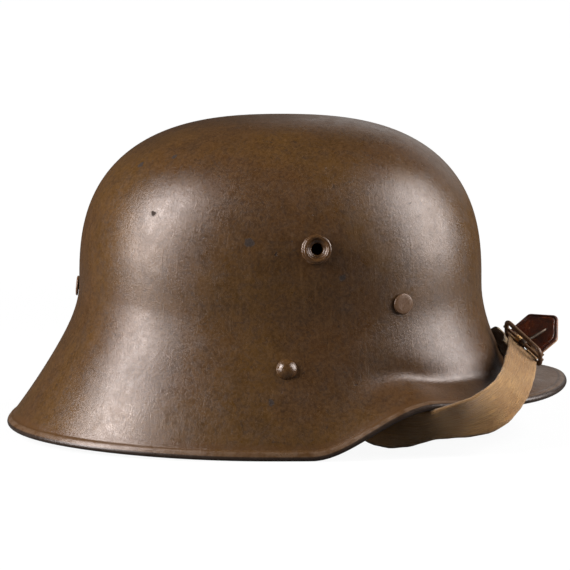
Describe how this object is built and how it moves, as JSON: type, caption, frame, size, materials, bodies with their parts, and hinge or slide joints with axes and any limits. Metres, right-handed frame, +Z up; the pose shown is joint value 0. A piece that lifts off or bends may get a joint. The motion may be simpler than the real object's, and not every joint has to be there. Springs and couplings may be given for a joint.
{
  "type": "steel helmet",
  "caption": "Pressed steel helmet with flared skirt, visor and vent lugs, a riveted chin strap stowed over the visor, and a padded leather liner.",
  "frame": {"origin": "below the middle of the shell's length and width, at the height of its lowest rim", "axes": "+X towards the visor, +Y towards the wearer's left, +Z up to the crown"},
  "size_m": [0.3104, 0.2278, 0.174],
  "materials": {
    "steel_paint": "satin, worn",
    "bare_steel": "dull, stained",
    "webbing": "woven cotton, soiled",
    "tab_leather": "dark, polished by wear",
    "liner_leather": "dry, brown",
    "cushion_cloth": "coarse cloth",
    "lace_cord": "twisted cord"
  },
  "bodies": {
    "helmet": {"shell": "steel_paint", "vent_lug_right": "steel_paint", "vent_lug_left": "steel_paint", "strap_rivet_right": "steel_paint", "strap_rivet_left": "steel_paint", "ring_plate_right": "steel_paint", "ring_plate_left": "steel_paint", "liner_pin_right": "steel_paint", "liner_pin_left": "steel_paint", "liner_pin_rear": "steel_paint", "pin_washers": "bare_steel", "band_spacers": "tab_leather", "liner_band": "liner_leather", "liner_pad_front": "liner_leather", "liner_pad_rear_left": "liner_leather", "liner_pad_rear_right": "liner_leather", "pad_cushion_front": "cushion_cloth", "pad_cushion_rear_left": "cushion_cloth", "pad_cushion_rear_right": "cushion_cloth", "crown_lace": "lace_cord", "strap_right": "webbing", "strap_left": "webbing", "leather_tab": "tab_leather", "buckle_frame": "steel_paint"},
    "ring_right": {"strap_ring_right": "bare_steel"},
    "ring_left": {"strap_ring_left": "bare_steel"},
    "prong": {"buckle_prong": "bare_steel"}
  },
  "joints": [
    {"name": "ring_right_swing", "type": "hinge", "parent": "helmet", "child": "ring_right", "pos_m": [0.0113, -0.09678, 0.03935], "axis": [0.4658, 0.2483, 0.8493], "range_deg": [-5, 80], "deforming": ["strap_right"]},
    {"name": "ring_left_swing", "type": "hinge", "parent": "helmet", "child": "ring_left", "pos_m": [0.0113, 0.09678, 0.03935], "axis": [-0.4658, 0.2483, -0.8493], "range_deg": [-5, 80], "deforming": ["strap_left"]},
    {"name": "prong_swing", "type": "hinge", "parent": "helmet", "child": "prong", "pos_m": [0.12954, -0.03103, 0.05103], "axis": [0.5729, -0.6617, -0.4836], "range_deg": [0, 50]}
  ]
}
